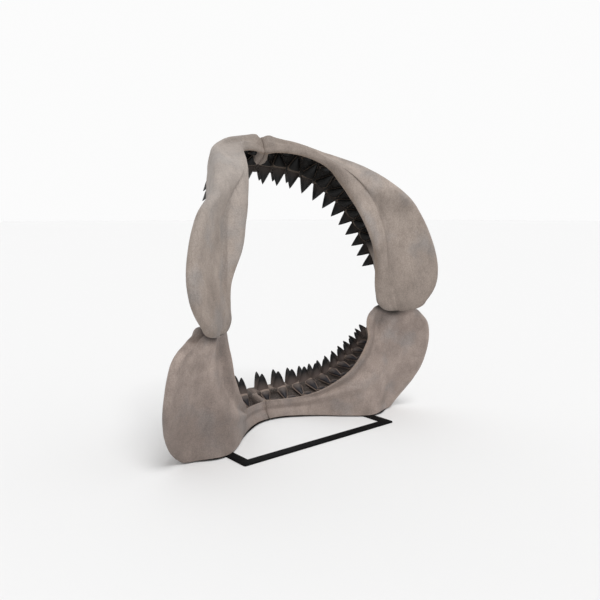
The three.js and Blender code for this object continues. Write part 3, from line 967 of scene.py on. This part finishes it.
class JawFinish(bpy.types.PropertyGroup):
    """Colours of the painted cast, the teeth and the stand."""

    upper_pale: colour_setting("Upper Pale", "Pale tone of the upper jaw", (0.452, 0.377, 0.328))
    upper_deep: colour_setting("Upper Deep", "Deep tone of the upper jaw", (0.352, 0.288, 0.246))
    upper_groove: colour_setting("Upper Trough", "Bottom of the upper trough", (0.008, 0.0065, 0.0055))
    upper_gum: colour_setting("Upper Gum", "Gum of the upper teeth", (0.04, 0.03, 0.024))
    lower_pale: colour_setting("Lower Pale", "Pale tone of the lower jaw", (0.474, 0.385, 0.338))
    lower_deep: colour_setting("Lower Deep", "Deep tone of the lower jaw", (0.366, 0.294, 0.258))
    lower_groove: colour_setting("Lower Trough", "Bottom of the lower trough", (0.052, 0.040, 0.034))
    lower_gum: colour_setting("Lower Gum", "Gum of the lower teeth", (0.17, 0.132, 0.112))
    upper_root: colour_setting("Upper Root", "Base of the upper teeth", (0.032, 0.024, 0.02))
    upper_crown: colour_setting("Upper Crown", "Tips of the upper teeth", (0.003, 0.003, 0.003))
    lower_root: colour_setting("Lower Root", "Base of the lower teeth", (0.13, 0.10, 0.088))
    lower_crown: colour_setting("Lower Crown", "Tips of the lower teeth", (0.006, 0.0055, 0.006))
    upper_spare_root: colour_setting("Upper Spare Root", "Base of the upper spares", (0.006, 0.005, 0.0045))
    upper_spare_crown: colour_setting("Upper Spare Crown", "Tips of the upper spares", (0.003, 0.003, 0.003))
    lower_spare_root: colour_setting("Lower Spare Root", "Base of the lower spares", (0.11, 0.088, 0.078))
    lower_spare_crown: colour_setting("Lower Spare Crown", "Tips of the lower spares", (0.022, 0.020, 0.024))
    upper_sheath: colour_setting("Upper Sheath", "Upper sheaths next to the gum", (0.09, 0.068, 0.052))
    upper_sheath_end: colour_setting("Upper Sheath End", "Far end of the upper sheaths", (0.07, 0.053, 0.041))
    lower_sheath: colour_setting("Lower Sheath", "Lower sheaths next to the gum", (0.24, 0.185, 0.155))
    lower_sheath_end: colour_setting("Lower Sheath End", "Far end of the lower sheaths", (0.2, 0.152, 0.128))
    steel: colour_setting("Steel", "Powder coat of the stand", (0.004, 0.004, 0.0045))


class JawStage(bpy.types.PropertyGroup):
    """Camera, floor and light."""

    eye: FloatVectorProperty(
        name="Eye", description="Where the camera stands", default=(2.851, 3.5737, 1.533), subtype="XYZ")
    look: FloatVectorProperty(
        name="Look", description="Direction the camera looks in",
        default=(-0.6345, -0.7618, -0.1305), subtype="XYZ")
    lens: FloatProperty(
        name="Lens", description="Focal length on a 36 mm wide frame", default=39.0, unit="CAMERA")
    sky: FloatProperty(
        name="Sky", description="Strength of the light from the viewer's side", default=0.55)
    backdrop: FloatProperty(
        name="Backdrop", description="Strength of the light from the far side", default=0.97)


# ---------------------------------------------------------------- operators
class JAW_OT_upper_halves(bpy.types.Operator):
    """Adds the left and right upper cartilage"""

    bl_idname = "jaw.upper_halves"
    bl_label = "Upper Halves"

    def execute(self, context):
        shape, finish = context.scene.jaw_shape, context.scene.jaw_finish
        material = cartilage_material(
            "upper_cartilage", finish.upper_pale, finish.upper_deep,
            finish.upper_groove, finish.upper_gum, UPPER_LOW_SHADE)
        rings, zones = cartilage_rings(UPPER_HALF, shape, UPPER_CAP)
        for place, reach, lift in (*NOSE_SWELLS, FOOT_SWELL):
            rings = swell_at(rings, place, reach, lift)
        for name, side in HALVES:
            obj = skin("upper_cartilage_" + name, rings * [side * MM, MM, MM], zones)
            finish_cartilage(obj, shape)
            keep_inside(obj)
            ride(obj, material, "upper_cartilage", "upper_jaw_" + name)
        return {"FINISHED"}


class JAW_OT_lower_halves(bpy.types.Operator):
    """Adds the left and right lower cartilage, with the hinge cups dented by the upper ends"""

    bl_idname = "jaw.lower_halves"
    bl_label = "Lower Halves"

    def execute(self, context):
        shape, finish = context.scene.jaw_shape, context.scene.jaw_finish
        material = cartilage_material(
            "lower_cartilage", finish.lower_pale, finish.lower_deep,
            finish.lower_groove, finish.lower_gum, LOWER_LOW_SHADE)
        rings, zones = cartilage_rings(LOWER_HALF, shape, LOWER_CAP)
        for place, reach, lift in CUP_SWELLS:
            rings = swell_at(rings, place, reach, lift)
        for name, side in HALVES:
            obj = skin("lower_cartilage_" + name, rings * [side * MM, MM, MM], zones)
            finish_cartilage(obj, shape)
            upper = bpy.data.objects["upper_cartilage_" + name]
            dent = obj.modifiers.new("dent", "SHRINKWRAP")
            dent.target = upper
            dent.wrap_method = "NEAREST_SURFACEPOINT"
            dent.wrap_mode = "OUTSIDE"
            dent.offset = CUP_GAP
            apply_modifiers(obj)
            mark_crevice_shade(obj, upper)
            mark_crevice_shade(upper, obj)
            keep_inside(obj)
            ride(obj, material, "lower_cartilage", "lower_jaw_" + name)
        return {"FINISHED"}


def build_teeth(half, rows, blank, name, material, seed, maker=standing_teeth, **how):
    """Copies the blank to each place of the rows, joins each side's copies and puts the blank away."""
    for side_name, side in HALVES:
        rng = np.random.default_rng(seed)
        pieces = []
        for row in rows:
            pieces += [copy_of(blank, matrix, side, tone) for matrix, tone in maker(half, row, rng, **how)]
        ride(joined(name + "_" + side_name, pieces), material, "teeth")
    bpy.data.objects.remove(blank)


class JAW_OT_front_teeth(bpy.types.Operator):
    """Adds the teeth that stand on the gums"""

    bl_idname = "jaw.front_teeth"
    bl_label = "Front Teeth"

    def execute(self, context):
        finish = context.scene.jaw_finish
        upper = tooth_material("upper_teeth", finish.upper_root, finish.upper_crown, 0.32)
        lower = tooth_material("lower_teeth", finish.lower_root, finish.lower_crown, 0.4, 0.62)
        build_teeth(UPPER_HALF, UPPER_ROWS, tooth_blank("blank", 0.6, 0.92), "upper_teeth", upper, 3)
        build_teeth(LOWER_HALF, LOWER_ROWS, tooth_blank("blank", 0.55, 0.62), "lower_teeth", lower, 5)
        return {"FINISHED"}


class JAW_OT_spare_teeth(bpy.types.Operator):
    """Adds the replacement teeth in the troughs, each in its sheath of gum"""

    bl_idname = "jaw.spare_teeth"
    bl_label = "Spare Teeth"

    def execute(self, context):
        finish = context.scene.jaw_finish
        upper = tooth_material("upper_spares", finish.upper_spare_root, finish.upper_spare_crown, 0.42)
        lower = tooth_material("lower_spares", finish.lower_spare_root, finish.lower_spare_crown, 0.5)
        upper_sheath = tooth_material("upper_sheaths", finish.upper_sheath, finish.upper_sheath_end, 0.6)
        lower_sheath = tooth_material("lower_sheaths", finish.lower_sheath, finish.lower_sheath_end, 0.65)
        for half, rows, name, tooth, sheath, seed, grow in (
            (UPPER_HALF, UPPER_SPARES, "upper", upper, upper_sheath, 7, 1.2),
            (LOWER_HALF, LOWER_SPARES, "lower", lower, lower_sheath, 9, 1.36),
        ):
            blank = tooth_blank("blank", 0.6, 0.9)
            build_teeth(half, rows, blank, name + "_spare_teeth", tooth, seed, lying_teeth)
            blank = tooth_blank("blank", 0.6, 0.9)
            build_teeth(half, rows, blank, name + "_tooth_sheaths", sheath, seed, lying_teeth,
                        grow=grow, sink=SHEATH_SINK)
        return {"FINISHED"}


def round_corners(obj, high):
    """Rounds the two outer rear corners of the stand, upright edges only."""
    mesh = obj.data
    chosen = []
    for edge in mesh.edges:
        a, b = (mesh.vertices[i].co for i in edge.vertices)
        upright = abs(a.x - b.x) + abs(a.y - b.y) < WELD
        chosen.append(upright and abs(abs(a.x) - high.x) < WELD and abs(a.y - high.y) < WELD)
    select_points(obj, np.zeros(len(mesh.vertices), bool))
    bpy.ops.object.mode_set(mode="EDIT")
    bpy.ops.mesh.select_mode(type="EDGE")
    bpy.ops.object.mode_set(mode="OBJECT")
    mesh.edges.foreach_set("select", np.array(chosen))
    bpy.ops.object.mode_set(mode="EDIT")
    bpy.ops.mesh.bevel(offset=CORNER_RADIUS, segments=CORNER_STEPS, affect="EDGES")
    bpy.ops.object.mode_set(mode="OBJECT")


class JAW_OT_stand(bpy.types.Operator):
    """Adds the flat bar stand with broken edges"""

    bl_idname = "jaw.stand"
    bl_label = "Stand"

    def execute(self, context):
        finish = context.scene.jaw_finish
        low, high = Vector(STAND_LOW), Vector(STAND_HIGH)
        size, middle = high - low, (high + low) / 2
        bars = []
        for width, length, x, y in (
            (size.x, BAR_WIDTH, 0, high.y - BAR_WIDTH / 2),
            (BAR_WIDTH, size.y, low.x + BAR_WIDTH / 2, middle.y),
            (BAR_WIDTH, size.y, high.x - BAR_WIDTH / 2, middle.y),
        ):
            bpy.ops.object.select_all(action="DESELECT")
            bpy.ops.mesh.primitive_cube_add(size=1)
            bar = context.object
            place = Matrix.Translation((x, y, middle.z))
            bar.data.transform(place @ Matrix.Diagonal((width, length, size.z, 1)))
            bars.append(bar)
        frame_bar, *arms = bars
        for arm in arms:
            union = frame_bar.modifiers.new("weld", "BOOLEAN")
            union.operation = "UNION"
            union.solver = "EXACT"
            union.object = arm
        apply_modifiers(frame_bar)
        for arm in arms:
            bpy.data.objects.remove(arm)
        round_corners(frame_bar, high)
        bevel = frame_bar.modifiers.new("edges", "BEVEL")
        bevel.width = EDGE_RADIUS
        bevel.segments = EDGE_STEPS
        bevel.limit_method = "ANGLE"
        bevel.angle_limit = EDGE_ANGLE
        apply_modifiers(frame_bar)
        frame_bar.name = frame_bar.data.name = "stand_frame"
        select_only(frame_bar)
        bpy.ops.object.shade_smooth_by_angle(angle=EDGE_ANGLE)
        ride(frame_bar, steel_material("stand_steel", finish.steel), "stand_steel", "stand")
        return {"FINISHED"}


def light_backdrop(tree, stage):
    """White light from all round, strongest from the backdrop side."""
    heading = tree.nodes.new("ShaderNodeTexCoord").outputs["Generated"]
    towards = tree.nodes.new("ShaderNodeVectorMath")
    towards.operation = "DOT_PRODUCT"
    tree.links.new(heading, towards.inputs[0])
    towards.inputs[1].default_value = Vector((stage.look[0], stage.look[1], 0)).normalized()
    strength = tree.nodes.new("ShaderNodeMapRange")
    for socket, value in zip(strength.inputs[1:], (*BACKDROP_SPAN, stage.sky, stage.backdrop)):
        socket.default_value = value
    tree.links.new(towards.outputs["Value"], strength.inputs["Value"])
    background = tree.nodes["Background"]
    background.inputs["Color"].default_value = (1, 1, 1, 1)
    tree.links.new(strength.outputs["Result"], background.inputs["Strength"])


class JAW_OT_stage(bpy.types.Operator):
    """Adds the floor, the lights and the camera"""

    bl_idname = "jaw.stage"
    bl_label = "Stage"

    def execute(self, context):
        stage = context.scene.jaw_stage
        bpy.ops.object.select_all(action="DESELECT")
        bpy.ops.mesh.primitive_plane_add(size=FLOOR_SIZE, location=(0, 0, 0))
        floor = context.object
        floor.name = "floor"
        board = Board("floor")
        board.set(Base_Color=FLOOR_TINT, Roughness=0.9)
        floor.data.materials.append(board.material)
        floor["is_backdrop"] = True
        world = bpy.data.worlds.new("studio")
        world.use_nodes = True
        light_backdrop(world.node_tree, stage)
        context.scene.world = world
        for name, heading, spread, strength in LAMPS:
            data = bpy.data.lights.new(name, "SUN")
            data.energy = strength
            data.angle = math.radians(spread)
            lamp = bpy.data.objects.new(name, data)
            lamp.rotation_euler = Vector(heading).to_track_quat("-Z", "Y").to_euler()
            context.collection.objects.link(lamp)
        camera_data = bpy.data.cameras.new("camera")
        camera_data.lens = stage.lens
        camera_data.clip_end = CLIP_FAR
        camera = bpy.data.objects.new("camera", camera_data)
        camera.location = stage.eye
        camera.rotation_euler = Vector(stage.look).to_track_quat("-Z", "Y").to_euler()
        context.collection.objects.link(camera)
        context.scene.camera = camera
        context.scene.view_settings.view_transform = "Standard"
        return {"FINISHED"}


class JAW_PT_panel(bpy.types.Panel):
    """The steps that build the jaw"""

    bl_label = "Shark Jaw"
    bl_idname = "JAW_PT_panel"
    bl_space_type = "VIEW_3D"
    bl_region_type = "UI"
    bl_category = "Jaw"

    def draw(self, context):
        for step in STEPS:
            self.layout.operator(step.bl_idname)


STEPS = (
    JAW_OT_upper_halves, JAW_OT_lower_halves, JAW_OT_front_teeth,
    JAW_OT_spare_teeth, JAW_OT_stand, JAW_OT_stage,
)
GROUPS = {"jaw_shape": JawShape, "jaw_finish": JawFinish, "jaw_stage": JawStage}


def register():
    for part in (*GROUPS.values(), *STEPS, JAW_PT_panel):
        bpy.utils.register_class(part)
    for name, group in GROUPS.items():
        setattr(bpy.types.Scene, name, PointerProperty(type=group))


def unregister():
    for name in GROUPS:
        delattr(bpy.types.Scene, name)
    for part in reversed((*GROUPS.values(), *STEPS, JAW_PT_panel)):
        bpy.utils.unregister_class(part)


def main():
    register()
    bpy.ops.jaw.upper_halves()
    bpy.ops.jaw.lower_halves()
    bpy.ops.jaw.front_teeth()
    bpy.ops.jaw.spare_teeth()
    bpy.ops.jaw.stand()
    bpy.ops.jaw.stage()
    boxes = {"cad": CAD_BOX, "visual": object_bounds()}
    {name: [list(corner) for corner in box] for name, box in boxes.items()}


if __name__ == "__main__":
    main()
